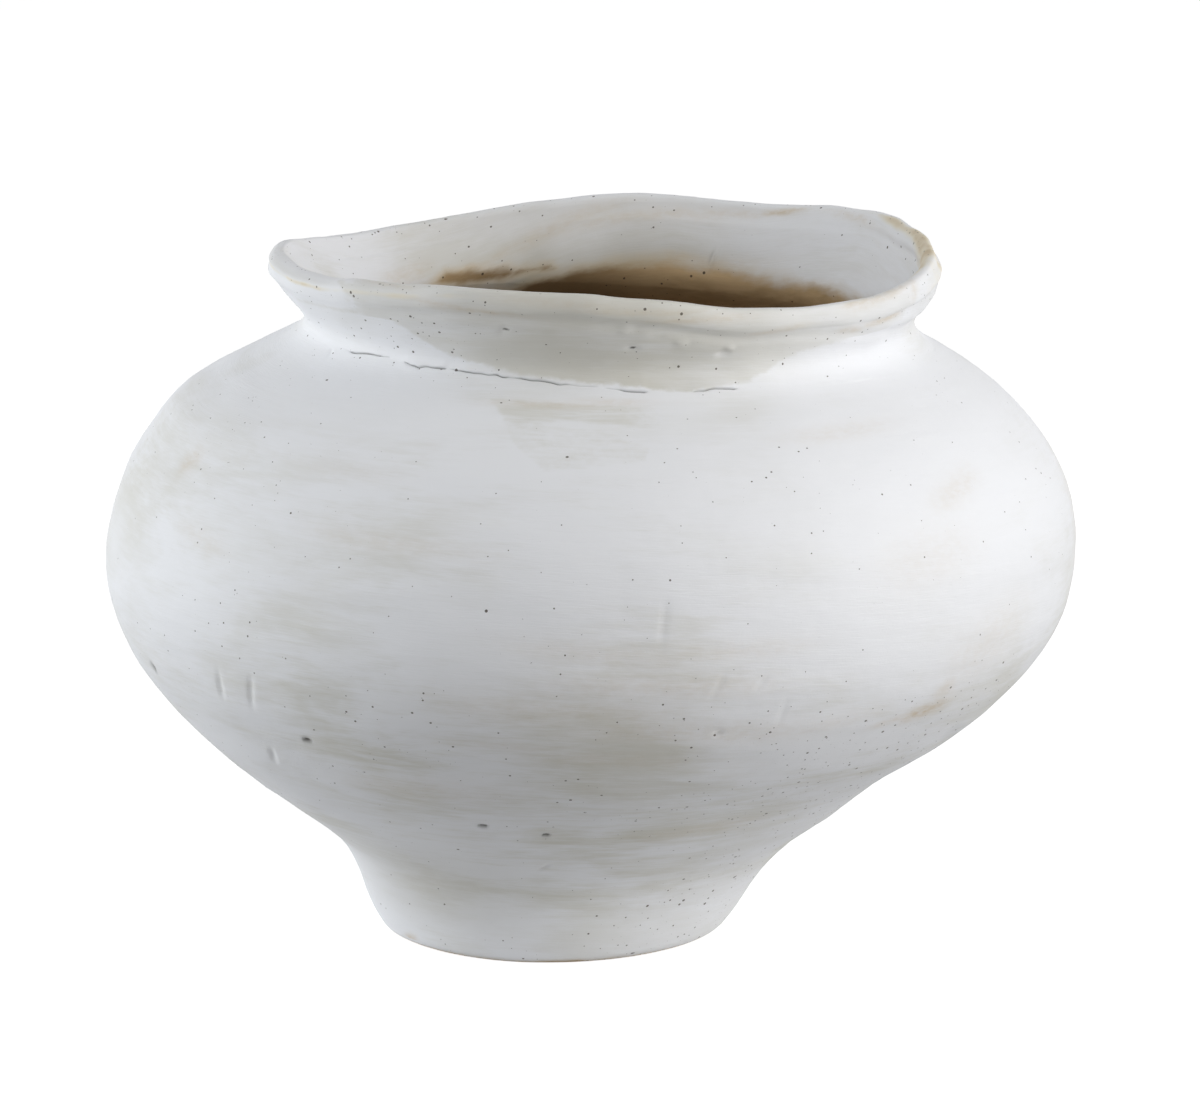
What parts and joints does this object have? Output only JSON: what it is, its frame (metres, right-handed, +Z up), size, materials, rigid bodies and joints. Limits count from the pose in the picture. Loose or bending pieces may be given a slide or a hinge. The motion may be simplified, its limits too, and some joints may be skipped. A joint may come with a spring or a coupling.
{
  "type": "jar",
  "caption": "Round hand-built stoneware jar with a wide, wavy flared mouth, a low leaning belly and a narrow foot, for flowers, dry goods or display.",
  "frame": {"origin": "centre of the foot ring's flat face, on the surface that the jar stands on", "axes": "+Z is up out of the mouth, +X is the side to which the belly and the mouth lean, and -Y is the front"},
  "size_m": [0.4491, 0.438, 0.3231],
  "materials": {
    "white_slip": "matte",
    "bare_stoneware": "matte"
  },
  "bodies": {
    "root": {"foot_ring": "white_slip", "base_dish": "white_slip", "stem_wall": "white_slip", "lower_bowl": "white_slip", "upper_bowl": "white_slip", "seam_coil": "bare_stoneware", "collar": "white_slip", "lip_coil": "white_slip"}
  },
  "joints": []
}
